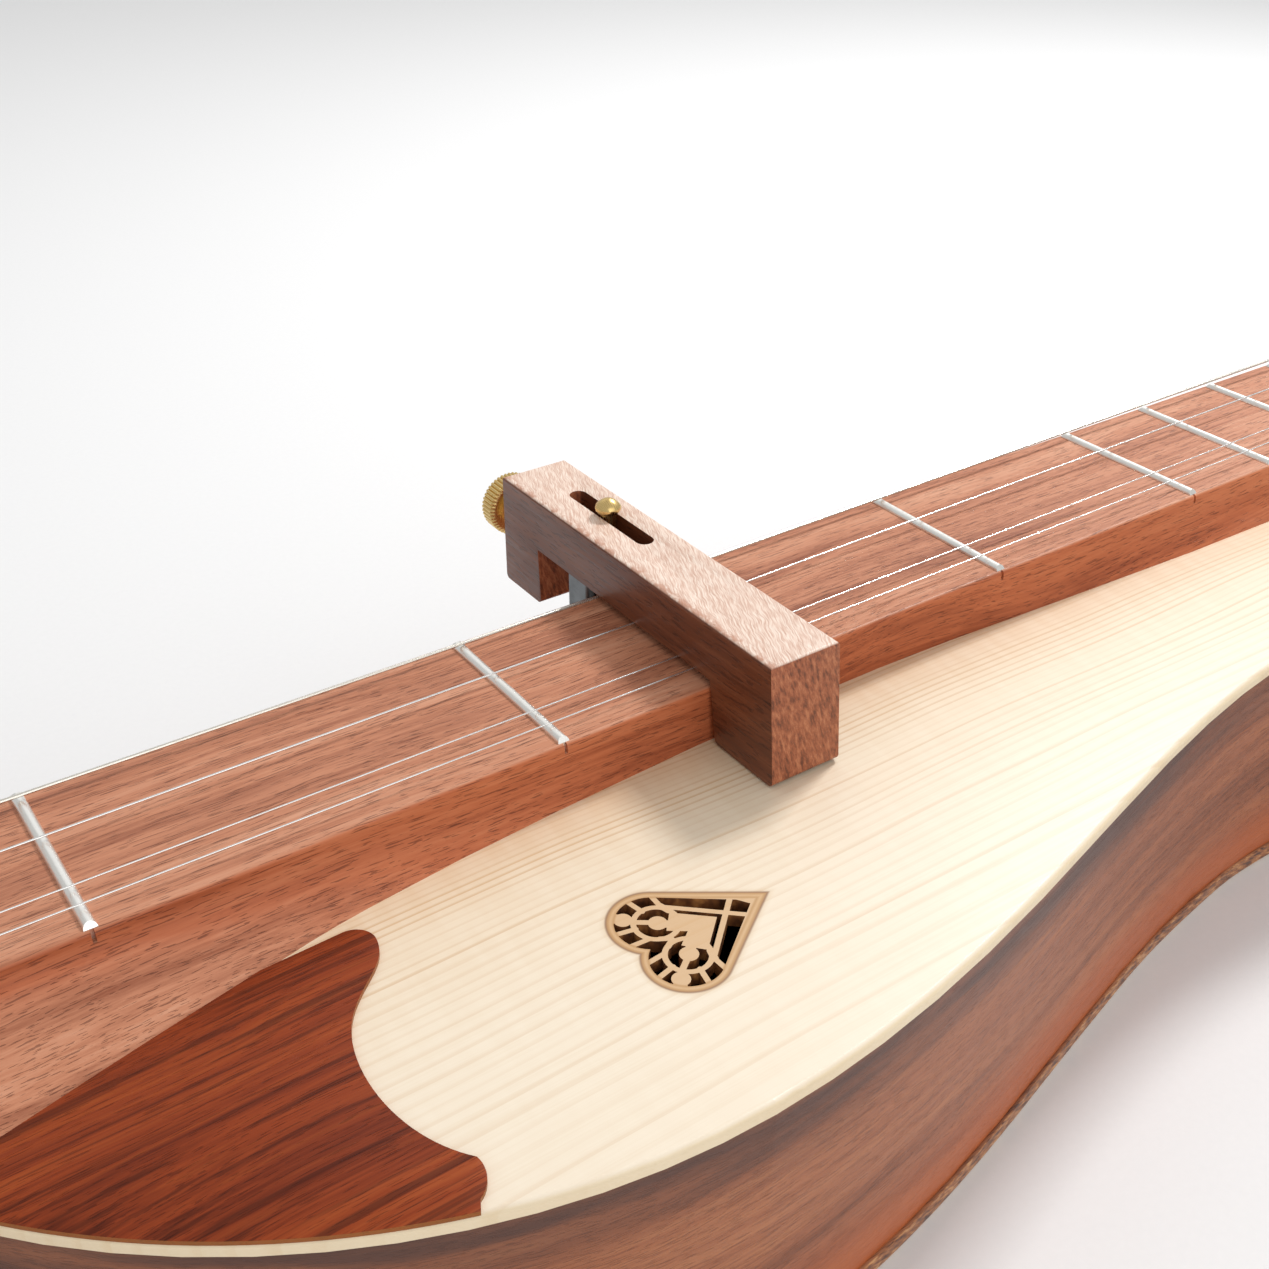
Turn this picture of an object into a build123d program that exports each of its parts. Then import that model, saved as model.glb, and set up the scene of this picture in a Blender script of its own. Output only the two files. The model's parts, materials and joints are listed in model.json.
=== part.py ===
"""Fretted lap dulcimer, 27 inch scale, one-sided waisted body, with a clamp-on wooden capo.

Frame: +X from the headstock to the tail, +Y from the player's side to the far side, +Z up.
The origin is on the surface the back rests on, below the middle of the overall length and the
fretboard's centreline. Everything is drawn in units of UNIT_MM and saved in millimetres.
Distances called s are measured along X from the nut's front edge, and halves from the centreline.
"""
from build123d import *
from math import acos, atan2, cos, radians, sin, tan
import os

os.makedirs("parts", exist_ok=True)

# ---- driving dimensions -------------------------------------------------------------------
UNIT_MM = 0.85           # millimetres to one drawing unit
SCALE = 806.8            # open string length, nut to saddle, 27 inches
FINGERBOARD_W = 38.1     # width of the fretboard's top
FRETBOARD_H = 10.8       # fretboard top above the soundboard
SOUNDBOARD_T = 2.2
RIB_H = 50.8
RIB_T = 2.8
BACK_T = 4.5
BACK_OVERHANG = 0.6

HEAD_LENGTH = 168.0      # nut to the headstock's tip
TAIL_S = 860.0           # nut to the body's tail end
PIN_STAND = 4.0          # hitch pins stand this far out of the tail
BODY_HEAD_S = -5.0       # the body's head end, just behind the nut

UPPER_BOUT = (154.0, 90.0)     # s and half width
WAIST = (318.0, 60.0)
LOWER_BOUT = (600.0, 108.0)
NECK_HALF = 25.0         # also the body's straight far side
TAIL_HALF = 32.0

HEAD_TILT = 8.0          # degrees, downwards from the nut
HEAD_T = 18.0
VENEER_T = 1.6

CAPO_S = 195.8           # the capo's face towards the nut
CAPO_W = 14.75
CAPO_TOP = 12.7          # above the fretboard's top
STRING_CLEAR = 1.75      # the capo's pressing face above the fretboard's top

# ---- levels and places worked out from them -----------------------------------------------
X_NUT = HEAD_LENGTH - (HEAD_LENGTH + TAIL_S + PIN_STAND) / 2
Z_RIB = BACK_T
Z_SB = Z_RIB + RIB_H              # underside of the soundboard
Z_TOP = Z_SB + SOUNDBOARD_T       # upper face of the soundboard
Z_FB = Z_TOP + FRETBOARD_H        # upper face of the fretboard
HALF_FB = FINGERBOARD_W / 2
Y_NEAR = -HALF_FB                 # the fretboard's near edge, which the capo is set out from


def sx(s):
    return X_NUT + s


def near(y):
    """Distance from the fretboard's near edge to Y."""
    return Y_NEAR + y


def save(part, name):
    part = part.scale(UNIT_MM)
    part.label = name
    export_step(part, f"parts/{name}.step")


# ---- plan outline of the body ---------------------------------------------------------------
NECK_S = 9.5             # the body starts to widen here
BOUT_R = 123.0           # radius of the upper bout's shoulder


def near_outline():
    """Edges of the outline's curved near side, from the head end to the tail end, drawn outside any builder."""
    def p(s, half):
        return (sx(s), -half)
    (us, uh), (ws, wh), (ls, lh) = UPPER_BOUT, WAIST, LOWER_BOUT
    a = (ws - us) / 3
    b = (ls - ws) / 3
    bend = 2 * atan2(uh - NECK_HALF, us - NECK_S)      # both shoulder arcs turn through this angle
    hollow_r = (us - NECK_S) / sin(bend) - BOUT_R

    def hollow(angle):
        return p(NECK_S + hollow_r * sin(angle), NECK_HALF + hollow_r * (1 - cos(angle)))

    def crown(angle):
        return p(us - BOUT_R * sin(angle), uh - BOUT_R * (1 - cos(angle)))
    return [
        Line(p(BODY_HEAD_S, NECK_HALF), hollow(0), mode=Mode.PRIVATE),
        ThreePointArc(hollow(0), hollow(bend / 2), hollow(bend), mode=Mode.PRIVATE),
        ThreePointArc(crown(bend), crown(bend / 2), crown(0), mode=Mode.PRIVATE),
        Bezier(p(us, uh), p(us + a, uh), p(ws - a, wh), p(ws, wh), mode=Mode.PRIVATE),
        Bezier(p(ws, wh), p(ws + b, wh), p(ls - b, lh), p(ls, lh), mode=Mode.PRIVATE),
        Bezier(p(ls, lh), p(ls + 100, lh), p(818, 72), p(TAIL_S, TAIL_HALF), mode=Mode.PRIVATE),
    ]


def plan(distance):
    """The body's plan, moved outwards by a distance, or inwards by a negative one.

    Moved inwards it still reaches the body's two flat ends.
    """
    far = NECK_HALF + distance
    with BuildSketch(mode=Mode.PRIVATE) as area:
        with BuildLine():
            for edge in near_outline():
                ways = [n / 8 for n in range(9)]
                outward = [Vector((edge % t).Y, -(edge % t).X) for t in ways]
                points = [edge @ t + normal * distance for t, normal in zip(ways, outward)]
                Spline(*points, tangents=(edge % 0, edge % 1))
            end = points[-1]
            Polyline((sx(BODY_HEAD_S), -far), (sx(BODY_HEAD_S), far), (end.X, far), (end.X, end.Y))
        make_face()
        if distance < 0:
            with Locations((sx(TAIL_S) + distance, (far + end.Y) / 2)):
                Rectangle(-2 * distance, far - end.Y)
    return area.sketch


with BuildSketch() as outline_sketch:
    with BuildLine():
        for near_edge in near_outline():
            add(near_edge)
        Polyline((sx(BODY_HEAD_S), -NECK_HALF), (sx(BODY_HEAD_S), NECK_HALF), (sx(TAIL_S), NECK_HALF),
                 (sx(TAIL_S), -TAIL_HALF))
    make_face()
outline = outline_sketch.sketch
cavity = plan(-RIB_T)
lining_inner = plan(-RIB_T - 6.0)


def band(s0, s1):
    """A rectangle across the whole body between two places along it."""
    return Pos(sx((s0 + s1) / 2), 0) * Rectangle(s1 - s0, 260, mode=Mode.PRIVATE)


def side_of(sign):
    return Pos(0, sign * 100) * Rectangle(2000, 200, mode=Mode.PRIVATE)


# ---- body shell -------------------------------------------------------------------------------
with BuildPart() as back_plate:
    with BuildSketch():
        add(plan(BACK_OVERHANG))
    extrude(amount=BACK_T)
    fillet(back_plate.edges().group_by(Axis.Z)[0], 1.4)
    fillet(back_plate.edges().group_by(Axis.Z)[-1], 0.4)
save(back_plate.part, "back_plate")

for rib_name, sign in (("rib_near", -1), ("rib_far", 1)):
    with BuildPart() as rib:
        with BuildSketch(Plane.XY.offset(Z_RIB)):
            add(outline)
            add(cavity, mode=Mode.SUBTRACT)
            add(side_of(sign), mode=Mode.INTERSECT)
        extrude(amount=RIB_H)
    save(rib.part, rib_name)

HEAD_BLOCK_S = 42.0
TAIL_BLOCK_S = 820.0
for block_name, s0, s1 in (("head_block", BODY_HEAD_S, HEAD_BLOCK_S), ("tail_block", TAIL_BLOCK_S, TAIL_S)):
    with BuildPart() as block:
        with BuildSketch(Plane.XY.offset(Z_RIB)):
            add(cavity)
            add(band(s0, s1), mode=Mode.INTERSECT)
        extrude(amount=RIB_H)
        if block_name == "tail_block":
            with Locations(*[Location((sx(TAIL_S), y, Z_TOP - 9.0), (0, 90, 0)) for y in (-14, -5, 5, 14)]):
                Hole(1.0, depth=14)
    save(block.part, block_name)

LINING_H = 8.0
for lining_name, z0 in (("back_linings", Z_RIB), ("soundboard_linings", Z_SB - LINING_H)):
    with BuildPart() as linings:
        with BuildSketch(Plane.XY.offset(z0)):
            add(cavity)
            add(lining_inner, mode=Mode.SUBTRACT)
            add(band(HEAD_BLOCK_S, TAIL_BLOCK_S), mode=Mode.INTERSECT)
        extrude(amount=LINING_H)
    save(linings.part, lining_name)


def braces(stations, z0, height):
    """Bars across the body between the linings."""
    with BuildPart() as bars:
        with BuildSketch(Plane.XY.offset(z0)):
            for s in stations:
                add(band(s - 4, s + 4))
            add(lining_inner, mode=Mode.INTERSECT)
        extrude(amount=height)
    return bars.part


save(braces((95, 340, 520, 700), Z_SB - 9.0, 9.0), "soundboard_braces")
save(braces((105, 225, 440, 660), Z_RIB, 9.0), "back_braces")

# ---- heart soundholes ---------------------------------------------------------------------------
# Heart frame: p runs from the lobes to the tip, q across. The lobes are circles about LOBE.
LOBE = (-5.5, 4.6)
LOBE_R = 6.7
TIP = 13.1
HEARTS = [(sx(165.7), -56.9), (sx(600.0), -64.0)]
SLIT = 0.9               # width of the heart's thin straps


def bar(a, b, width=SLIT):
    """A thin strap with round ends between two points."""
    (x0, y0), (x1, y1) = a, b
    middle = Vector((x0 + x1) / 2, (y0 + y1) / 2)
    run = Vector(x1 - x0, y1 - y0)
    turn = Vector(1, 0).get_signed_angle(run, Vector(0, 0, 1))
    return Location(middle, (0, 0, turn)) * SlotOverall(run.length + width, width)


def ring(centre, radius, width=SLIT):
    return Pos(*centre) * (Circle(radius + width / 2) - Circle(radius - width / 2))


def heart_area(shrink):
    """The heart's outline, moved inwards."""
    reach = LOBE_R - shrink
    run = Vector(TIP - LOBE[0], -LOBE[1])
    tip = TIP - shrink * run.length / LOBE_R
    run = Vector(tip - LOBE[0], -LOBE[1])
    angle = radians(Vector(1, 0).get_signed_angle(run, Vector(0, 0, 1)))
    touch = angle + acos(reach / run.length)
    touch_point = (LOBE[0] + reach * cos(touch), LOBE[1] + reach * sin(touch))
    lobes = Pos(LOBE[0], LOBE[1]) * Circle(reach) + Pos(LOBE[0], -LOBE[1]) * Circle(reach)
    blade = make_face(Polyline((tip, 0), touch_point, LOBE, (LOBE[0], -LOBE[1]),
                               (touch_point[0], -touch_point[1]), (tip, 0)))
    return lobes + blade


def heart_straps():
    """Everything that is left standing inside the heart's border."""
    solid = None
    for q in (1, -1):
        loop = (-4.9, q * 4.1)
        pieces = [
            ring(loop, 3.5),
            bar((-2.3, q * 6.8), (9.2, q * -3.6)),
            bar((-5.9, q * 10.8), (-5.2, q * 7.4)),
            bar((-2.0, q * 10.8), (-2.2, q * 6.6)),
            bar((-11.6, q * 2.2), (-7.8, q * 1.9)),
            bar((-11.8, q * 5.6), (-8.2, q * 4.8)),
            bar((-7.6, q * 6.2), (-5.4, q * 4.6), 1.0),
            bar((-1.7, q * 5.3), (-2.2, q * 7.0), 1.2),
            bar((-6.4, q * 1.0), (-5.0, q * 0.2), 1.0),
            Pos(-8.7, q * 7.5) * Circle(1.45),
            Pos(-9.7, q * 8.6) * Circle(1.1),
            Pos(-4.7, q * 4.0) * Circle(1.5),
            bar((-4.7, q * 4.0), (-3.2, q * 2.6), 1.6),
            make_face(Polyline((3.5, 0), (-1.9, q * 4.9), (-4.6, q * 1.9), (-2.0, 0), (3.5, 0))),
        ]
        for piece in pieces:
            solid = piece if solid is None else solid + piece
    tip_bar = bar((8.2, 2.6), (10.6, -1.0), 1.1)
    return solid + tip_bar


heart_openings = heart_area(1.0) - heart_straps()

with BuildPart() as soundboard:
    with BuildSketch(Plane.XY.offset(Z_SB)):
        add(outline)
    extrude(amount=SOUNDBOARD_T)
    fillet(soundboard.edges().group_by(Axis.Z)[-1], 0.9)
    for heart_x, heart_y in HEARTS:
        with BuildSketch(Plane.XY.offset(Z_SB)):
            add(Pos(heart_x, heart_y) * heart_openings)
        extrude(amount=SOUNDBOARD_T, mode=Mode.SUBTRACT)
save(soundboard.part, "soundboard")

# ---- fretboard ------------------------------------------------------------------------------------
# The near side of the fretboard's foot on the soundboard, from the centreline: it sweeps out at the head
# and eases out again towards the tail. The far side is flat.
FOOT = [(-5, 24.3), (9, 24.3), (30, 26.5), (44, 32.8), (54, 39.0), (66, 38.6), (80, 35.2), (99, 30.8),
        (111, 28.2), (122, 25.8), (147, 22.8), (165, 21.4), (195, 19.7), (225, 19.3), (250, 19.6),
        (283, 21.4), (330, 23.6), (450, 25.0), (600, 25.6), (740, 25.9), (800, 28.0), (860, 30.4)]
FAR_FACE = HALF_FB - 0.05
STATIONS = ([-5 + 9 * n for n in range(12)] + [106, 118, 130, 144, 160, 178, 196]
            + [216 + 28 * n for n in range(24)])
EDGE_ROUND = 0.8


def foot_half(s):
    """Smooth curve through FOOT."""
    def slope(i):
        lo, hi = max(i - 1, 0), min(i + 1, len(FOOT) - 1)
        return (FOOT[hi][1] - FOOT[lo][1]) / (FOOT[hi][0] - FOOT[lo][0])
    k = max(i for i in range(len(FOOT) - 1) if FOOT[i][0] <= s)
    (a, ya), (b, yb) = FOOT[k], FOOT[k + 1]
    h = b - a
    t = (s - a) / h
    return ((2 * t**3 - 3 * t**2 + 1) * ya + (t**3 - 2 * t**2 + t) * h * slope(k)
            + (3 * t**2 - 2 * t**3) * yb + (t**3 - t**2) * h * slope(k + 1))


def cove(half, t):
    """Half width of the fretboard at t of the way from its top to its foot."""
    return HALF_FB + (half - HALF_FB) * t**2.3


def fret_place(semitones):
    return SCALE * (1 - 2 ** (-semitones / 12))


FRET_STEPS = (2, 4, 5, 7, 9, 10, 11, 12, 14, 16, 17, 19, 21, 22, 23, 24, 26, 28)
FRETS = [fret_place(n) for n in FRET_STEPS]
SLOT_W = 0.6
SLOT_DEEP = 1.9
NUT_T = 4.0
NUT_DEEP = 3.0
NUT_UP = 1.7
SADDLE_T = 3.0
SADDLE_UP = 4.6

with BuildPart() as fretboard:
    for station in STATIONS:
        foot = foot_half(station)
        ways = [1.0, 0.75, 0.5, 0.25, EDGE_ROUND / FRETBOARD_H]
        side = [(cove(foot, t), Z_FB - t * FRETBOARD_H) for t in ways]
        with BuildSketch(Plane.YZ.offset(sx(station))):
            with BuildLine():
                Spline(*side)
                ThreePointArc(side[-1], (HALF_FB - EDGE_ROUND * 0.293, Z_FB - EDGE_ROUND * 0.293),
                              (HALF_FB - EDGE_ROUND, Z_FB))
                Line((HALF_FB - EDGE_ROUND, Z_FB), (EDGE_ROUND - HALF_FB, Z_FB))
                ThreePointArc((EDGE_ROUND - HALF_FB, Z_FB),
                              (EDGE_ROUND * 0.293 - HALF_FB, Z_FB - EDGE_ROUND * 0.293),
                              (-side[-1][0], side[-1][1]))
                Spline(*[(-y, z) for y, z in reversed(side)])
                Line((-side[0][0], side[0][1]), side[0])
            make_face()
    loft()
    with Locations((0, FAR_FACE + 50, Z_FB)):
        Box(2000, 100, 60, mode=Mode.SUBTRACT)
    with BuildSketch(Plane.XZ):
        with BuildLine():
            ThreePointArc((sx(700), Z_FB), (sx(740), Z_FB - 4.0), (sx(780), Z_FB))
            Polyline((sx(780), Z_FB), (sx(780), Z_FB + 2), (sx(700), Z_FB + 2), (sx(700), Z_FB))
        make_face()
    extrude(amount=60, both=True, mode=Mode.SUBTRACT)
    with BuildSketch(Plane.XZ):
        for s in FRETS:
            with Locations((sx(s), Z_FB - SLOT_DEEP / 2)):
                Rectangle(SLOT_W, SLOT_DEEP)
        with Locations((sx(-NUT_T / 2 - 0.5), Z_FB - NUT_DEEP / 2)):
            Rectangle(NUT_T + 1.0, NUT_DEEP)
        with Locations((sx(SCALE), Z_FB - NUT_DEEP / 2)):
            Rectangle(SADDLE_T, NUT_DEEP)
    extrude(amount=60, both=True, mode=Mode.SUBTRACT)
save(fretboard.part, "fretboard")

# ---- frets, nut and saddle ---------------------------------------------------------------------------
CROWN_W = 2.1
CROWN_H = 1.0
FRET_IN_NEAR = 0.65
FRET_IN_FAR = 0.9

with BuildPart() as frets:
    with BuildSketch(Plane.XZ):
        for s in FRETS:
            with BuildLine():
                ThreePointArc((sx(s) - CROWN_W / 2, Z_FB), (sx(s), Z_FB + CROWN_H), (sx(s) + CROWN_W / 2, Z_FB))
                Polyline((sx(s) + CROWN_W / 2, Z_FB), (sx(s) + SLOT_W / 2, Z_FB),
                         (sx(s) + SLOT_W / 2, Z_FB - SLOT_DEEP + 0.1),
                         (sx(s) - SLOT_W / 2, Z_FB - SLOT_DEEP + 0.1),
                         (sx(s) - SLOT_W / 2, Z_FB), (sx(s) - CROWN_W / 2, Z_FB))
            make_face()
    extrude(amount=HALF_FB, both=True)
    bevel = 0.7
    with BuildSketch(Plane.YZ.offset(sx(0))):
        with BuildLine():
            Polyline((FRET_IN_NEAR - HALF_FB, Z_FB - 3), (HALF_FB - FRET_IN_FAR, Z_FB - 3),
                     (HALF_FB - FRET_IN_FAR, Z_FB), (HALF_FB - FRET_IN_FAR - bevel, Z_FB + CROWN_H + 0.2),
                     (FRET_IN_NEAR + bevel - HALF_FB, Z_FB + CROWN_H + 0.2), (FRET_IN_NEAR - HALF_FB, Z_FB),
                     close=True)
        make_face()
    extrude(amount=SCALE, mode=Mode.INTERSECT)
save(frets.part, "frets")

with BuildPart() as nut:
    with BuildSketch(Plane.XZ):
        with Locations((sx(-NUT_T / 2), Z_FB + (NUT_UP - NUT_DEEP) / 2)):
            Rectangle(NUT_T, NUT_UP + NUT_DEEP)
    extrude(amount=HALF_FB - 0.8, both=True)
    fillet(nut.edges().filter_by(Axis.Y).group_by(Axis.Z)[-1], 0.9)
save(nut.part, "nut")

with BuildPart() as saddle:
    with BuildSketch(Plane.XZ):
        with Locations((sx(SCALE), Z_FB + (SADDLE_UP - NUT_DEEP) / 2)):
            Rectangle(SADDLE_T, SADDLE_UP + NUT_DEEP)
    extrude(amount=HALF_FB - 0.5, both=True)
    fillet(saddle.edges().filter_by(Axis.Y).group_by(Axis.Z)[-1], 1.2)
save(saddle.part, "saddle")

# ---- overlays on the soundboard ---------------------------------------------------------------------
OVERLAY_T = 0.8
# Ogee edge of the head overlay, from the fretboard's foot out to the rim, as s and half width.
OGEE = [(124.2, 32.2), (122.2, 37.0), (118.4, 40.6), (114.0, 45.5), (111.5, 52.0), (110.9, 59.0), (111.9, 66.0),
        (114.4, 72.2), (116.8, 75.6)]
TAIL_OGEE_S = TAIL_S + 23      # the tail overlay is the head one turned about, this far on


def overlay_sketch(place, outer_s):
    """Area of one overlay, which runs from outer_s to the ogee; place turns its own s into the body's."""
    def p(s, half):
        return (sx(place(s)), -half)
    with BuildSketch(mode=Mode.PRIVATE) as area:
        with BuildLine():
            Spline(*[p(*q) for q in OGEE])
            ThreePointArc(p(*OGEE[-1]), p(116.6, 78.4), p(114.0, 81.4))
            Line(p(114.0, 81.4), p(104.0, 100.0))
            Polyline(p(104.0, 100.0), p(outer_s, 100.0), p(outer_s, 20.0), p(104.0, 20.0))
            Line(p(104.0, 20.0), p(104.0, 29.2))
            Line(p(104.0, 29.2), p(120.6, 28.6))
            ThreePointArc(p(120.6, 28.6), p(123.2, 29.7), p(*OGEE[0]))
        make_face()
        add(outline, mode=Mode.INTERSECT)
        add(foot_area, mode=Mode.SUBTRACT)
    return area.sketch


FOOT_MARGIN = 0.12
with BuildSketch(mode=Mode.PRIVATE) as foot_area_sketch:
    with BuildLine():
        foot_line = [(sx(s), -foot_half(s) - FOOT_MARGIN) for s in STATIONS]
        Spline(*foot_line)
        Polyline(foot_line[-1], (foot_line[-1][0], 0), (foot_line[0][0], 0), foot_line[0])
    make_face()
foot_area = foot_area_sketch.sketch

OVERLAYS = [("head_overlay", lambda s: s, 40.0), ("tail_overlay", lambda s: TAIL_OGEE_S - s, 20.0)]
for overlay_name, place, outer_s in OVERLAYS:
    with BuildPart() as overlay:
        with BuildSketch(Plane.XY.offset(Z_TOP)):
            add(overlay_sketch(place, outer_s))
        extrude(amount=OVERLAY_T)
    pieces = overlay.part.solids().sort_by(SortBy.VOLUME)
    save(Part(pieces[-1].wrapped), overlay_name)

# ---- headstock -----------------------------------------------------------------------------------------
Z_HEAD = Z_FB - 2.6      # the headstock's upper face, under the veneer, where it leaves the nut
tilt = radians(HEAD_TILT)
head = Plane(origin=(sx(BODY_HEAD_S), 0, Z_HEAD), x_dir=(-cos(tilt), 0, -sin(tilt)),
             z_dir=(-sin(tilt), 0, cos(tilt)))


def head_point(u, y, w):
    """A point u along the headstock from its root, at Y, and w above its upper face."""
    return head.origin + head.x_dir * u + Vector(0, y, 0) + head.z_dir * w


def head_plan():
    """Plan outline of the headstock."""
    with BuildSketch(mode=Mode.PRIVATE) as plan:
        with BuildLine():
            for side in (1, -1):
                Spline((sx(BODY_HEAD_S), side * NECK_HALF), (sx(-30), side * 20.5), (sx(-66), side * 25.5),
                       (sx(-100), side * 26.0), (sx(-138), side * 23.0), tangents=((-1, 0), (-1, side * -0.16)))
                Bezier((sx(-138), side * 23.0), (sx(-152), side * 20.8), (sx(-HEAD_LENGTH), side * 17.0),
                       (sx(-HEAD_LENGTH), 0))
            Line((sx(BODY_HEAD_S), -NECK_HALF), (sx(BODY_HEAD_S), NECK_HALF))
        make_face()
    return plan.sketch


def slope_z(s, below=0.0):
    return Z_HEAD + (s - BODY_HEAD_S) * tan(tilt) - below / cos(tilt)


HEEL_S = -42.0           # the headstock's underside curves down to the back from here
POSTS = [(1, 56.0, 14.5), (2, 108.0, 11.5), (3, 56.0, -14.5), (4, 108.0, -11.5)]   # number, u, Y
POST_R = 3.0
BUSHING_R = 4.2
BUSHING_DEEP = 7.0
FIT = 0.05               # radial clearance of a turning shaft in its bearing

with BuildPart() as headstock:
    with BuildSketch(Plane.XZ):
        with BuildLine():
            Line((sx(BODY_HEAD_S), 0.8), (sx(BODY_HEAD_S), Z_HEAD))
            Line((sx(BODY_HEAD_S), Z_HEAD), (sx(-200), slope_z(-200)))
            Line((sx(-200), slope_z(-200)), (sx(-200), slope_z(-200, HEAD_T)))
            Line((sx(-200), slope_z(-200, HEAD_T)), (sx(HEEL_S), slope_z(HEEL_S, HEAD_T)))
            Bezier((sx(HEEL_S), slope_z(HEEL_S, HEAD_T)), (sx(-27), slope_z(-27, HEAD_T)), (sx(-27), 3.0),
                   (sx(BODY_HEAD_S), 0.8))
        make_face()
    extrude(amount=40, both=True)
    with BuildSketch(Plane.XY):
        add(head_plan())
    extrude(amount=100, mode=Mode.INTERSECT)
    for number, u, y in POSTS:
        with Locations(Plane(origin=head_point(u, y, 0), x_dir=head.x_dir, z_dir=head.z_dir)):
            CounterBoreHole(POST_R + 0.3, BUSHING_R, BUSHING_DEEP)
save(headstock.part, "headstock")

with BuildPart() as headstock_veneer:
    with BuildSketch(Plane.XZ):
        with BuildLine():
            Polyline((sx(BODY_HEAD_S), Z_HEAD), (sx(BODY_HEAD_S), slope_z(BODY_HEAD_S, -VENEER_T)),
                     (sx(-200), slope_z(-200, -VENEER_T)), (sx(-200), slope_z(-200)), close=True)
        make_face()
    extrude(amount=40, both=True)
    with BuildSketch(Plane.XY):
        add(head_plan())
    extrude(amount=100, mode=Mode.INTERSECT)
    for number, u, y in POSTS:
        with Locations(Plane(origin=head_point(u, y, VENEER_T), x_dir=head.x_dir, z_dir=head.z_dir)):
            Hole(BUSHING_R)
save(headstock_veneer.part, "headstock_veneer")

# ---- geared tuners ---------------------------------------------------------------------------------------
PLATE_T = 1.2
GEAR_R = 4.8
GEAR_T = 3.4
GEAR_TEETH = 14
WORM_R = 2.4
WORM_L = 8.4
SHAFT_R = 1.5
GEAR_TOP = -HEAD_T - PLATE_T - 1.0             # w of the gear's upper face
WORM_W = GEAR_TOP - GEAR_T / 2                 # w of the worm's axis
WORM_U = GEAR_R + WORM_R + 0.12                # the worm's axis beyond the post's axis
EAR_T = 1.8
EAR_Y = WORM_L / 2 + 0.25 + EAR_T / 2
BUTTON_Y = 31.0                                # the button's inner end from the centreline
STRING_W = 6.5                                 # w at which the strings wind on


def head_plane(u, y, w):
    return Plane(origin=head_point(u, y, w), x_dir=head.x_dir, z_dir=head.z_dir)


def across(u, y, w, out):
    """Plane whose normal runs sideways out of the headstock, on the side that out names."""
    return Plane(origin=head_point(u, y, w), x_dir=head.z_dir, z_dir=(0, out, 0))


with BuildPart() as bushings:
    for number, u, y in POSTS:
        with BuildSketch(head_plane(u, y, VENEER_T)):
            Circle(5.6)
            Circle(POST_R + FIT, mode=Mode.SUBTRACT)
        extrude(amount=1.0)
        with BuildSketch(head_plane(u, y, VENEER_T)):
            Circle(BUSHING_R)
            Circle(POST_R + FIT, mode=Mode.SUBTRACT)
        extrude(amount=-BUSHING_DEEP - VENEER_T + 0.4)
save(bushings.part, "tuner_bushings")

SCREW_SPOTS = (-9.0, 14.0)                     # plate screws, along u from the post
with BuildPart() as plates:
    for number, u, y in POSTS:
        with BuildSketch(head_plane(u + 2.5, y, -HEAD_T)):
            RectangleRounded(29.0, 13.0, 3.0)
        extrude(amount=-PLATE_T)
        for ear in (-1, 1):
            with BuildSketch(head_plane(u + WORM_U, y + ear * EAR_Y, -HEAD_T - PLATE_T)):
                Rectangle(5.2, EAR_T)
            extrude(amount=-(GEAR_T + 2.2))
        with BuildSketch(across(u + WORM_U, y - 12, WORM_W, 1)):
            Circle(SHAFT_R + FIT)
        extrude(amount=24, mode=Mode.SUBTRACT)
        with BuildSketch(head_plane(u, y, -HEAD_T + 1)):
            Circle(POST_R + 0.2)
        extrude(amount=-4, mode=Mode.SUBTRACT)
        for spot in SCREW_SPOTS:
            with BuildSketch(head_plane(u + spot, y, -HEAD_T + 1)):
                Circle(1.3)
            extrude(amount=-4, mode=Mode.SUBTRACT)
save(plates.part, "tuner_plates")

with BuildPart() as plate_screws:
    for number, u, y in POSTS:
        for spot in SCREW_SPOTS:
            with BuildSketch(head_plane(u + spot, y, -HEAD_T - PLATE_T)):
                Circle(2.3)
            extrude(amount=-1.1)
            with BuildSketch(head_plane(u + spot, y, -HEAD_T - PLATE_T)):
                Circle(1.25)
            extrude(amount=PLATE_T)
save(plate_screws.part, "tuner_screws")

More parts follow.
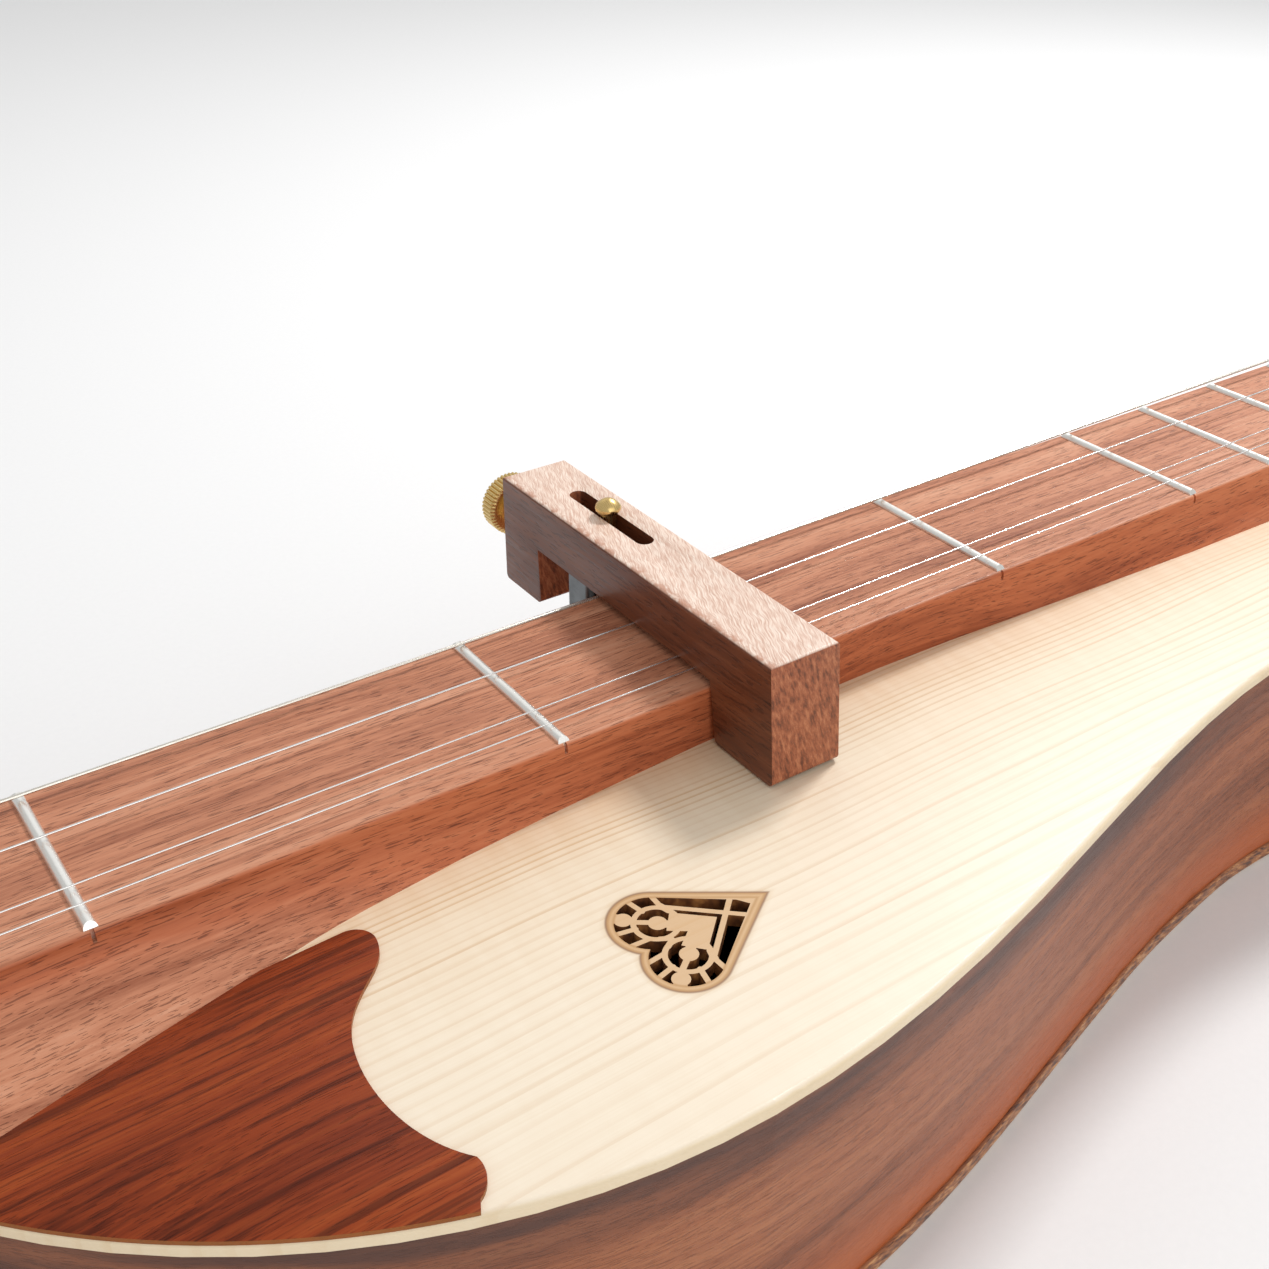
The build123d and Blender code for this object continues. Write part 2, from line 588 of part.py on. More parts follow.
for number, u, y in POSTS:
    out = 1 if y > 0 else -1

    with BuildPart() as post:
        with BuildSketch(head_plane(u, y, GEAR_TOP)):
            Circle(POST_R)
        extrude(amount=-GEAR_TOP + VENEER_T + 12.0)
        fillet(post.faces().sort_by(Axis(head.origin, head.z_dir))[-1].edges(), 0.8)
        with BuildSketch(head_plane(u, y, GEAR_TOP)):
            Circle(2.0)
        extrude(amount=-GEAR_T - 0.2)
        with BuildSketch(head_plane(u, y, GEAR_TOP - GEAR_T - 0.1)):
            Circle(2.9)
        extrude(amount=-0.9)
        with BuildSketch(across(u, y - 5, STRING_W + 2.2, 1)):
            Circle(0.6)
        extrude(amount=10, mode=Mode.SUBTRACT)
    save(post.part, f"tuner_post_{number}")

    with BuildPart() as gear:
        with BuildSketch(head_plane(u, y, GEAR_TOP)):
            Circle(GEAR_R)
            with PolarLocations(GEAR_R + 0.1, GEAR_TEETH):
                Circle(0.52, mode=Mode.SUBTRACT)
            Circle(2.0, mode=Mode.SUBTRACT)
        extrude(amount=-GEAR_T)
    save(gear.part, f"tuner_gear_{number}")

    with BuildPart() as worm:
        with BuildSketch(across(u + WORM_U, y - out * WORM_L / 2, WORM_W, out)):
            Circle(WORM_R)
        extrude(amount=WORM_L)
        with BuildSketch(across(u + WORM_U, y - out * (EAR_Y + EAR_T / 2 + 0.6), WORM_W, out)):
            Circle(SHAFT_R)
        extrude(amount=out * (out * BUTTON_Y + 4.0 - y) + EAR_Y + EAR_T / 2 + 0.6)
    save(worm.part, f"tuner_worm_{number}")

    with BuildPart() as button:
        with BuildSketch(Plane(origin=head_point(u + WORM_U, out * (BUTTON_Y + 9.5), WORM_W),
                               x_dir=(0, out, 0), z_dir=head.x_dir)):
            Ellipse(8.0, 6.2)
        extrude(amount=2.6, both=True)
        fillet(button.edges(), 1.2)
        with BuildSketch(across(u + WORM_U, out * (BUTTON_Y - 1.5), WORM_W, out)):
            Circle(2.7)
        extrude(amount=5.0)
        with BuildSketch(across(u + WORM_U, out * (BUTTON_Y - 3.0), WORM_W, out)):
            Circle(SHAFT_R)
        extrude(amount=7.0, mode=Mode.SUBTRACT)
    save(button.part, f"tuner_button_{number}")

# ---- strings -------------------------------------------------------------------------------------------------
# name, radius, Y at the nut, Y at the saddle, tuner, hitch pin's Y
STRINGS = [("string_bass", 0.34, 15.2, 18.1, 1, 14.0), ("string_middle", 0.2, 3.0, 7.4, 2, 5.0),
           ("string_melody_inner", 0.15, -10.2, -8.25, 4, -5.0),
           ("string_melody_outer", 0.15, -14.8, -13.1, 3, -14.0)]
GAP = 0.04
BEND_RUN = 1.2           # length of string that each bend takes up
PIN_Z = Z_TOP - 9.0


def string_route(radius, y_nut, y_saddle, tuner, y_pin):
    """Points that the string passes through, from its post to its hitch pin."""
    number, u, y_post = [post_spot for post_spot in POSTS if post_spot[0] == tuner][0]
    inner = 1 if y_post > 0 else -1

    def at(s, z):
        return Vector(sx(s), y_nut + (y_saddle - y_nut) * s / SCALE, z)
    lift = radius + GAP
    tail_x = sx(TAIL_S) + 0.3 + lift
    return [
        head_point(u, y_post - inner * (POST_R + radius + 0.1), STRING_W),
        at(-NUT_T + 0.6, Z_FB + NUT_UP + lift),
        at(-0.4, Z_FB + NUT_UP + lift),
        at(CAPO_S + 0.5, Z_FB + STRING_CLEAR - lift),
        at(CAPO_S + CAPO_W - 0.5, Z_FB + STRING_CLEAR - lift),
        at(SCALE, Z_FB + SADDLE_UP + lift),
        Vector(tail_x, y_pin, Z_FB + 0.25 + lift),
        Vector(tail_x, y_pin, PIN_Z + 1.2 + radius),
    ]


for string_name, radius, y_nut, y_saddle, tuner, y_pin in STRINGS:
    route = string_route(radius, y_nut, y_saddle, tuner, y_pin)
    turns = [radians((b - a).get_angle(c - b)) for a, b, c in zip(route, route[1:], route[2:])]
    with BuildPart() as string:
        with BuildLine():
            FilletPolyline(*route, radius=[BEND_RUN / turn for turn in turns])
        with BuildSketch(Plane(origin=route[0], z_dir=route[1] - route[0])):
            Circle(radius)
        sweep()
    save(string.part, string_name)

with BuildPart() as hitch_pins:
    for y_pin in (-14, -5, 5, 14):
        with BuildSketch(Plane(origin=(sx(TAIL_S) - 13.0, y_pin, PIN_Z), z_dir=(1, 0, 0))):
            Circle(1.0)
        extrude(amount=13.0 + PIN_STAND - 0.6)
        with BuildSketch(Plane(origin=(sx(TAIL_S) + PIN_STAND - 0.9, y_pin, PIN_Z), z_dir=(1, 0, 0))):
            Circle(1.7)
        extrude(amount=0.9)
save(hitch_pins.part, "hitch_pins")

# ---- capo ---------------------------------------------------------------------------------------------
# Set out from the fretboard's near edge and top face: y runs across the fretboard, z up.
LEG_FOOT = -10.4
NEAR_OUT_TOP, NEAR_OUT_FOOT = -16.2, -18.3
NEAR_IN_TOP, NEAR_IN_FOOT = -0.25, -2.3
FAR_IN_TOP, FAR_IN_FOOT = 56.6, 55.9
FAR_OUT = 69.4
SLOT_X = 8.2             # the guide slot's middle, from the face towards the nut
SLOT_RUN = (29.6, 55.7)
SLOT_WIDE = 3.6
SCREW_X = 7.4
SCREW_Z = 0.6
SCREW_R = 2.0
GROOVE_W = 9.0
GROOVE_TOP = 3.7


def capo_xyz(x, y, z):
    return (sx(CAPO_S + x), near(y), Z_FB + z)


def capo_profile(points):
    return [(near(y), Z_FB + z) for y, z in points]


def along_y(x, y, z):
    """Plane across the capo's clamping screw, with its normal along +Y."""
    return Plane(origin=capo_xyz(x, y, z), x_dir=(1, 0, 0), z_dir=(0, 1, 0))


with BuildPart() as capo_frame:
    with BuildSketch(Plane.YZ.offset(sx(CAPO_S))):
        with BuildLine():
            Polyline(*capo_profile([
                (NEAR_OUT_TOP, CAPO_TOP), (NEAR_OUT_FOOT, LEG_FOOT), (NEAR_IN_FOOT, LEG_FOOT),
                (NEAR_IN_TOP, STRING_CLEAR), (FAR_IN_TOP, STRING_CLEAR), (FAR_IN_FOOT, LEG_FOOT),
                (FAR_OUT, LEG_FOOT), (FAR_OUT, CAPO_TOP)]), close=True)
        make_face()
    extrude(amount=CAPO_W)
    leg_feet = capo_frame.edges().filter_by(Axis.X).group_by(Axis.Z)[0]
    fillet(leg_feet, 1.0)
    fillet(capo_frame.faces().sort_by(Axis.Z)[-1].edges(), 0.7)
    with BuildSketch(Plane.XY.offset(Z_FB + STRING_CLEAR - 1)):
        with Locations((sx(CAPO_S + SLOT_X), near(sum(SLOT_RUN) / 2))):
            SlotOverall(SLOT_RUN[1] - SLOT_RUN[0], SLOT_WIDE, rotation=90)
    extrude(amount=CAPO_TOP, mode=Mode.SUBTRACT)
    with BuildSketch(Plane.XY.offset(Z_FB + STRING_CLEAR - 1)):
        with Locations((sx(CAPO_S + SLOT_X), near((38.2 + FAR_IN_TOP) / 2))):
            Rectangle(GROOVE_W, FAR_IN_TOP - 38.2)
    extrude(amount=GROOVE_TOP - STRING_CLEAR + 1, mode=Mode.SUBTRACT)
    with BuildSketch(along_y(SCREW_X, FAR_IN_FOOT - 2, SCREW_Z)):
        Circle(SCREW_R + 0.4)
    extrude(amount=20, mode=Mode.SUBTRACT)
    with BuildSketch(along_y(SCREW_X, FAR_OUT - 8.0, SCREW_Z)):
        Circle(3.4)
    extrude(amount=10, mode=Mode.SUBTRACT)
save(capo_frame.part, "capo_frame")

with BuildPart() as capo_insert:
    with BuildSketch(along_y(SCREW_X, FAR_OUT - 8.0, SCREW_Z)):
        Circle(3.4)
        Circle(SCREW_R + FIT, mode=Mode.SUBTRACT)
    extrude(amount=8.0)
    with BuildSketch(along_y(SCREW_X, FAR_OUT, SCREW_Z)):
        Circle(4.4)
        Circle(SCREW_R + FIT, mode=Mode.SUBTRACT)
    extrude(amount=0.5)
save(capo_insert.part, "capo_insert")

JAW_FRONT, JAW_BACK = 40.4, 47.4
PIN_Y = 43.5
JAW_W = 12.6
with BuildPart() as capo_jaw:
    with BuildSketch(Plane.XY.offset(Z_FB - 9.6)):
        with Locations((sx(CAPO_S + CAPO_W / 2), near((JAW_FRONT + JAW_BACK) / 2))):
            Rectangle(JAW_W, JAW_BACK - JAW_FRONT)
    extrude(amount=9.6 + STRING_CLEAR - 0.15)
    fillet(capo_jaw.edges().filter_by(Axis.Z), 0.8)
    with BuildSketch(Plane.XY.offset(Z_FB)):
        with Locations((sx(CAPO_S + SLOT_X), near((JAW_FRONT + JAW_BACK) / 2))):
            Rectangle(GROOVE_W - 0.16, JAW_BACK - JAW_FRONT - 0.4)
    extrude(amount=GROOVE_TOP - 0.15)
    with BuildSketch(along_y(SCREW_X, JAW_BACK - 1.8, SCREW_Z)):
        Circle(SCREW_R + FIT)
    extrude(amount=3, mode=Mode.SUBTRACT)
    with BuildSketch(Plane.XY.offset(Z_FB - 1.6)):
        with Locations((sx(CAPO_S + SLOT_X), near(PIN_Y))):
            Circle(1.5)
    extrude(amount=8, mode=Mode.SUBTRACT)
save(capo_jaw.part, "capo_jaw")

with BuildPart() as capo_jaw_pad:
    with BuildSketch(Plane.XY.offset(Z_FB - 7.5)):
        with Locations((sx(CAPO_S + CAPO_W / 2), near((38.4 + JAW_FRONT) / 2))):
            Rectangle(JAW_W - 0.8, JAW_FRONT - 38.4)
    extrude(amount=7.5 + 1.3)
save(capo_jaw_pad.part, "capo_jaw_pad")

HEAD_BALL_R = 2.6
with BuildPart() as capo_guide_pin:
    with Locations((sx(CAPO_S + SLOT_X), near(PIN_Y), Z_FB + CAPO_TOP + 1.8)):
        Sphere(HEAD_BALL_R)
    split(bisect_by=Plane.XY.offset(Z_FB + CAPO_TOP + 0.2), keep=Keep.TOP)
    for z0, z1, radius in ((GROOVE_TOP, CAPO_TOP + 1.0, 1.7), (-1.6, GROOVE_TOP, 1.5)):
        with BuildSketch(Plane.XY.offset(Z_FB + z0)):
            with Locations((sx(CAPO_S + SLOT_X), near(PIN_Y))):
                Circle(radius)
        extrude(amount=z1 - z0)
save(capo_guide_pin.part, "capo_guide_pin")

KNOB_Y = 76.5
KNOB_R = 6.4
KNOB_T = 4.8
KNURLS = 36
with BuildPart() as capo_screw:
    with BuildSketch(along_y(SCREW_X, JAW_BACK - 1.7, SCREW_Z)):
        Circle(SCREW_R)
    extrude(amount=KNOB_Y + KNOB_T - 1.0 - (JAW_BACK - 1.7))
save(capo_screw.part, "capo_screw")

with BuildPart() as capo_knob:
    with BuildSketch(along_y(SCREW_X, KNOB_Y, SCREW_Z)):
        Circle(KNOB_R)
    extrude(amount=KNOB_T)
    chamfer(capo_knob.edges(), 0.5)
    with BuildSketch(along_y(SCREW_X, KNOB_Y - 1, SCREW_Z)):
        with PolarLocations(KNOB_R + 0.12, KNURLS):
            Circle(0.36)
        Circle(SCREW_R)
    extrude(amount=KNOB_T + 2, mode=Mode.SUBTRACT)
save(capo_knob.part, "capo_knob")


def saved(point):
    return [round(c * UNIT_MM, 3) for c in point]


print("nut and fretboard top, mm", saved((X_NUT, Z_FB)))
print("capo screw axis", saved(capo_xyz(SCREW_X, KNOB_Y, SCREW_Z)))
for number, u, y in POSTS:
    print("post", number, saved(head_point(u, y, 0)), "worm", saved(head_point(u + WORM_U, y, WORM_W)))
print("head normal", [round(c, 6) for c in head.z_dir])
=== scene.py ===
"""The looks of a fretted lap dulcimer with a clamped wooden capo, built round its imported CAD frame.

The frame is in metres: +X from the headstock to the tail, +Y from the player's side to the far side,
+Z up. Sizes in this script are in the drawing units that the CAD uses, of 0.85 mm each.
"""
import json
import math

import bpy
from mathutils import Matrix, Vector


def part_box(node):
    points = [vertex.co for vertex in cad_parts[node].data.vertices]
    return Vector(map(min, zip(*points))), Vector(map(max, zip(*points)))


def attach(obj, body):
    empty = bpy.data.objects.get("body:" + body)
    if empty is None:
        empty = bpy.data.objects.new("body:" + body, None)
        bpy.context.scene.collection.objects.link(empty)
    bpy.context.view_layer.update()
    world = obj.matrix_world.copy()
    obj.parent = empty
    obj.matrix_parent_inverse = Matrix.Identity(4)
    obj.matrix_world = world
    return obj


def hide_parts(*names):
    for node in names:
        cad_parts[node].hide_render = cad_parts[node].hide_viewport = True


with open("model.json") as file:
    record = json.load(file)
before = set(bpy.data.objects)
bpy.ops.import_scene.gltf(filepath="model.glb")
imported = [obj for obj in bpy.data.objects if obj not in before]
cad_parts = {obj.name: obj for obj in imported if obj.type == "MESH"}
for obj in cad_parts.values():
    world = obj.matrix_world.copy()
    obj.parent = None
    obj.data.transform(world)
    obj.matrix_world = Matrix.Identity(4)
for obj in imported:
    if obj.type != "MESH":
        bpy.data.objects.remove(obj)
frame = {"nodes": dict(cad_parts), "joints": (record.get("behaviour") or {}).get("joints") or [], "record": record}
NODES = frame["nodes"]
JOINTS = {joint["name"]: joint for joint in frame["joints"]}
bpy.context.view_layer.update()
UNIT = 0.00085                            # a drawing unit in metres

# ---- places taken from the frame -------------------------------------------------------------------
NUT_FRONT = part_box("nut")[1].x            # the nut's front edge, where the strings start
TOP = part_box("fretboard")[1].z            # the fretboard's upper face
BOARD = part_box("soundboard")[1].z         # the soundboard's upper face
NEAR_EDGE = -19.05 * UNIT                 # the near edge of the fretboard's top
CAPO_LOW, CAPO_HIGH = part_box("capo_frame")
RIB_LOW, RIB_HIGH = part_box("rib_near")[0].z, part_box("rib_near")[1].z


def rgb(r, g, b):
    return (r, g, b, 1.0)


# ---- materials --------------------------------------------------------------------------------------
class Net:
    """A material's node tree. Each call adds a node and returns the socket that it feeds."""

    def __init__(self, name):
        self.mat = bpy.data.materials.new(name)
        self.mat.use_nodes = True
        self.tree = self.mat.node_tree
        self.tree.nodes.clear()
        self.shader = self.add("ShaderNodeBsdfPrincipled")
        output = self.add("ShaderNodeOutputMaterial")
        self.tree.links.new(self.shader.outputs[0], output.inputs[0])
        coord = self.add("ShaderNodeTexCoord")
        self.at = coord.outputs["Object"]
        in_units = self.vmath("MULTIPLY", self.at, (1 / UNIT, 1 / UNIT, 1 / UNIT))
        self.x, self.y, self.z = self.split(in_units)
        self.nx, self.ny, self.nz = self.split(coord.outputs["Normal"])

    def add(self, kind, **settings):
        node = self.tree.nodes.new(kind)
        for key, value in settings.items():
            setattr(node, key, value)
        return node

    def feed(self, socket, value):
        if isinstance(value, bpy.types.NodeSocket):
            self.tree.links.new(value, socket)
        else:
            socket.default_value = value

    def vmath(self, operation, a, b):
        node = self.add("ShaderNodeVectorMath", operation=operation)
        self.feed(node.inputs[0], a)
        self.feed(node.inputs[1], b)
        return node.outputs[0]

    def split(self, vector):
        node = self.add("ShaderNodeSeparateXYZ")
        self.feed(node.inputs[0], vector)
        return node.outputs[0], node.outputs[1], node.outputs[2]

    def join(self, x, y, z):
        node = self.add("ShaderNodeCombineXYZ")
        for socket, value in zip(node.inputs, (x, y, z)):
            self.feed(socket, value)
        return node.outputs[0]

    def do(self, operation, a, b=0.0):
        node = self.add("ShaderNodeMath", operation=operation)
        self.feed(node.inputs[0], a)
        if len(node.inputs) > 1:
            self.feed(node.inputs[1], b)
        return node.outputs[0]

    def plus(self, a, b):
        return self.do("ADD", a, b)

    def minus(self, a, b):
        return self.do("SUBTRACT", a, b)

    def times(self, a, b):
        return self.do("MULTIPLY", a, b)

    def size_of(self, a):
        return self.do("ABSOLUTE", a)

    def step(self, value, low, high, a=0.0, b=1.0):
        """Eases from a to b as value goes from low to high."""
        node = self.add("ShaderNodeMapRange", interpolation_type="SMOOTHSTEP")
        for index, item in enumerate((value, low, high, a, b)):
            self.feed(node.inputs[index], item)
        return node.outputs[0]

    def noise(self, size, detail=3.0, rough=0.55, at=None):
        """Noise whose features measure size = (x, y, z) in units."""
        where = self.join(*at) if at else self.join(self.x, self.y, self.z)
        scaled = self.vmath("MULTIPLY", where, tuple(1.0 / s for s in size))
        node = self.add("ShaderNodeTexNoise")
        self.feed(node.inputs["Vector"], scaled)
        node.inputs["Scale"].default_value = 1.0
        node.inputs["Detail"].default_value = detail
        node.inputs["Roughness"].default_value = rough
        return node.outputs[0]

    def waver(self, swing, size, detail=3.0, rough=0.55, at=None):
        """Noise about zero, whose full range is swing."""
        return self.times(self.minus(self.noise(size, detail, rough, at), 0.5), swing)

    def ramp(self, factor, *stops):
        node = self.add("ShaderNodeValToRGB")
        elements = node.color_ramp.elements
        while len(elements) < len(stops):
            elements.new(0.5)
        for element, (place, colour) in zip(elements, stops):
            element.position = place
            element.color = colour
        self.feed(node.inputs[0], factor)
        return node.outputs[0]

    def mix(self, factor, a, b, blend="MIX"):
        node = self.add("ShaderNodeMix", data_type="RGBA", blend_type=blend)
        self.feed(node.inputs[0], factor)
        self.feed(node.inputs[6], a)
        self.feed(node.inputs[7], b)
        return node.outputs[2]

    def end(self, colour, rough, height=None, bump_u=0.05, metal=0.0, coat=0.0, coat_rough=0.2,
            specular=0.5):
        s = self.shader.inputs
        self.feed(s["Base Color"], colour)
        self.feed(s["Roughness"], rough)
        s["Metallic"].default_value = metal
        s["Specular IOR Level"].default_value = specular
        s["Coat Weight"].default_value = coat
        s["Coat Roughness"].default_value = coat_rough
        if height is not None:
            bump = self.add("ShaderNodeBump")
            bump.inputs["Strength"].default_value = 1.0
            bump.inputs["Distance"].default_value = bump_u * UNIT
            self.feed(bump.inputs["Height"], height)
            self.tree.links.new(bump.outputs[0], s["Normal"])
        return self.mat


def pores(n, at, length, width, share):
    """Short dark pores along the first coordinate; 1 in a pore, 0 outside."""
    dots = n.noise((length, width, width), 1.0, 0.5, at)
    return n.step(dots, 1.0 - share, 1.0 - share + 0.06)


def hardwood(name, tones, at=None, figure=(150, 7, 7), fibre=(26, 0.7, 0.7), pore=(6.0, 0.28, 0.42),
             pore_dark=0.5, rough=(0.34, 0.5), coat=0.0, shade=None, specular=0.4):
    """Wood whose grain runs along the first coordinate of at.

    tones are its dark, middle and light colours, figure and fibre the sizes of its broad and fine
    markings, and pore a pore's length, width and share of the surface.
    """
    n = Net(name)
    at = at(n) if at else (n.x, n.y, n.z)
    sway = n.waver(9.0, (90, 30, 30), 1.0, 0.5, at)
    swayed = (at[0], n.plus(at[1], sway), n.plus(at[2], sway))
    broad = n.noise(figure, 3.0, 0.6, swayed)
    fine = n.noise(fibre, 4.0, 0.65, swayed)
    blend = n.plus(n.times(broad, 0.62), n.times(fine, 0.38))
    colour = n.ramp(blend, (0.32, tones[0]), (0.5, tones[1]), (0.68, tones[2]))
    holes = pores(n, swayed, pore[0], pore[1], pore[2])
    colour = n.mix(n.times(holes, pore_dark), colour,
                   n.mix(1.0, colour, rgb(0.25, 0.2, 0.2), "MULTIPLY"))
    if shade:
        colour = shade(n, colour, swayed)
    height = n.minus(n.times(fine, 0.5), holes)
    roughness = n.step(fine, 0.3, 0.7, *rough)
    return n.end(colour, roughness, height, 0.03, coat=coat, coat_rough=0.25, specular=specular)


# Heart soundholes: two lobes and a tip, as the CAD cuts them, at these places along and across the body.
LOBE, LOBE_R, TIP = (-5.5, 4.6), 6.7, 13.1
HEARTS = ((165.7, 56.9), (600.0, 64.0))


def heart_distance(n, s, half):
    """Distance outside a heart's outline, for a heart this far from the centreline."""
    p = n.minus(n.x, NUT_FRONT / UNIT + s)
    q = n.size_of(n.minus(n.size_of(n.y), half))
    u = n.minus(p, LOBE[0])
    v = n.minus(q, LOBE[1])
    from_lobe = n.do("SQRT", n.plus(n.times(u, u), n.times(v, v)))
    round_part = n.minus(from_lobe, LOBE_R)
    run = math.hypot(TIP - LOBE[0], LOBE[1])
    touch = math.atan2(-LOBE[1], TIP - LOBE[0]) + math.acos(LOBE_R / run)
    c, k = math.cos(touch), math.sin(touch)
    flank = n.minus(n.plus(n.times(u, c), n.times(v, k)), LOBE_R)
    along = n.minus(n.times(u, k), n.times(v, c))
    on_flank = n.do("GREATER_THAN", along, 0.0)
    off_flank = n.minus(1.0, on_flank)
    return n.plus(n.times(flank, on_flank), n.times(round_part, off_flank))


RING_FIRST, RING_GROWTH = 1.1, 0.03       # spacing of the rings at the fretboard, and its growth outwards


def spruce():
    """Pale straight-ringed wood, warmer beside the fretboard and scorched round the hearts."""
    n = Net("spruce_top")
    half = n.size_of(n.y)
    drift = n.waver(7.0, (120, 60, 60), 1.5)
    across = n.plus(half, drift)
    widening = n.plus(n.times(n.minus(across, 20.0), RING_GROWTH), RING_FIRST)
    spacing = n.do("MAXIMUM", widening, 0.8)
    packed = n.times(n.do("LOGARITHM", spacing, math.e), 1 / RING_GROWTH)
    uneven = n.waver(1.3, (5000, 11, 5000), 1.0, 0.5, (n.x, across, n.z))
    rings = n.do("FRACT", n.plus(packed, uneven))
    late = n.times(n.step(rings, 0.5, 0.86), n.step(rings, 0.92, 0.99, 1.0, 0.0))
    vigour = n.step(n.noise((420, 4.5, 5000), 2.0, 0.5, (n.x, across, n.z)), 0.3, 0.7, 0.2, 0.95)
    inner = n.step(half, 22.0, 62.0, 1.0, 0.42)
    line = n.times(n.times(late, vigour), inner)
    fibre = n.noise((30, 0.35, 0.35), 3.0, 0.6)
    silk = n.noise((3.5, 14, 14), 2.0, 0.6)
    base = n.mix(n.step(half, 24.0, 66.0), rgb(0.80, 0.645, 0.465), rgb(0.86, 0.745, 0.59))
    base = n.mix(n.step(half, 19.0, 36.0, 0.6, 0.0), base, rgb(0.70, 0.47, 0.28))
    base = n.mix(n.times(n.step(silk, 0.35, 0.7), 0.16), base, rgb(0.93, 0.84, 0.69))
    base = n.mix(n.times(n.step(fibre, 0.4, 0.75), 0.15), base, rgb(0.70, 0.53, 0.32))
    base = n.mix(n.times(line, 0.72), base, rgb(0.60, 0.36, 0.16))
    base = n.mix(n.step(n.nz, 0.97, 0.6, 0.0, 0.5), base, rgb(0.83, 0.64, 0.36))
    distance = n.do("MINIMUM", heart_distance(n, *HEARTS[0]), heart_distance(n, *HEARTS[1]))
    away = n.size_of(distance)
    halo = n.step(distance, 0.0, 1.4, 0.4, 0.0)
    base = n.mix(n.times(halo, n.step(distance, -1.2, -0.6)), base, rgb(0.62, 0.40, 0.19))
    base = n.mix(n.step(away, 0.1, 0.55, 0.92, 0.0), base, rgb(0.22, 0.09, 0.035))
    border = n.step(n.size_of(n.plus(distance, 1.0)), 0.0, 0.42, 0.85, 0.0)
    base = n.mix(border, base, rgb(0.22, 0.09, 0.03))
    inside = n.step(distance, -0.2, 0.3, 1.0, 0.0)
    base = n.mix(n.times(inside, 0.75), base, rgb(0.60, 0.34, 0.13))
    scorch = n.noise((2.2, 2.2, 3.0), 2.0, 0.6)
    burnt = n.ramp(scorch, (0.3, rgb(0.05, 0.018, 0.01)), (0.52, rgb(0.20, 0.075, 0.025)),
                   (0.7, rgb(0.45, 0.2, 0.06)))
    wall = n.times(n.step(n.size_of(n.nz), 0.75, 0.5), n.step(distance, 0.5, 1.0, 1.0, 0.0))
    base = n.mix(wall, base, burnt)
    height = n.plus(n.times(fibre, 0.4), n.times(line, -0.4))
    return n.end(base, n.step(fibre, 0.3, 0.7, 0.36, 0.48), height, 0.02, coat=0.15, coat_rough=0.3)


def rosewood():
    """Deep red wood with near-black stripes and a lighter cut edge."""
    def stripes(n, colour, at):
        bands = n.noise((260, 1.7, 1.7), 3.0, 0.62, at)
        colour = n.mix(n.step(bands, 0.36, 0.52, 0.62, 0.0), colour, rgb(0.04, 0.006, 0.002))
        colour = n.mix(n.step(bands, 0.55, 0.78, 0.0, 0.45), colour, rgb(0.36, 0.08, 0.016))
        edge = n.step(n.size_of(n.nz), 0.8, 0.4)
        return n.mix(n.times(edge, 0.8), colour, rgb(0.34, 0.12, 0.03))
    tones = (rgb(0.13, 0.018, 0.005), rgb(0.26, 0.042, 0.009), rgb(0.37, 0.078, 0.016))
    return hardwood("rosewood_overlay", tones, shade=stripes, rough=(0.36, 0.5), pore=(5.0, 0.22, 0.4),
                    specular=0.16)


def fingerboard():
    """Reddish-brown wood, warmer and darker on its sides than on its top, whose lighter pink is painted sheen."""
    def sides(n, colour, at):
        # painted sheen: the tones carry the top's lighter pink reflection, and faces turned sideways are
        # multiplied back to the plainer, warmer wood
        flank = n.step(n.nz, 0.93, 0.55)
        side_without_sheen = n.mix(1.0, colour, rgb(0.93, 0.62, 0.44), "MULTIPLY")
        return n.mix(flank, colour, side_without_sheen)
    tones = (rgb(0.28, 0.088, 0.044), rgb(0.54, 0.225, 0.125), rgb(0.68, 0.35, 0.22))
    return hardwood("fretboard_wood", tones, figure=(120, 5.5, 5.5), shade=sides, pore=(4.5, 0.22, 0.4),
                    pore_dark=0.62, rough=(0.36, 0.5), specular=0.25)


def sides_wood():
    """Wood bent round the body: a dark streak under its upper edge, orange near its lower one."""
    low, high = RIB_LOW / UNIT, RIB_HIGH / UNIT

    def along_rib(n):
        return (n.x, n.z, n.times(n.y, 0.12))

    def bands(n, colour, at):
        wave = n.waver(16.0, (160, 40, 40), 2.0)
        height = n.plus(n.z, wave)
        top = n.step(height, high - 15.0, high - 3.0)
        patch = n.step(n.noise((70, 7, 7), 2.0, 0.6, at), 0.38, 0.6, 0.45, 1.0)
        colour = n.mix(n.times(n.times(top, patch), 0.92), colour, rgb(0.085, 0.04, 0.03))
        foot = n.step(height, low + 17.0, low + 1.0)
        return n.mix(n.times(foot, 0.7), colour, rgb(0.52, 0.12, 0.03))
    tones = (rgb(0.17, 0.050, 0.020), rgb(0.34, 0.112, 0.048), rgb(0.46, 0.18, 0.08))
    return hardwood("rib_wood", tones, at=along_rib, figure=(140, 5.0, 14.0), fibre=(20, 0.6, 3.0),
                    shade=bands, pore=(3.6, 0.2, 0.43), pore_dark=0.4, rough=(0.3, 0.42), coat=0.06,
                    specular=0.25)


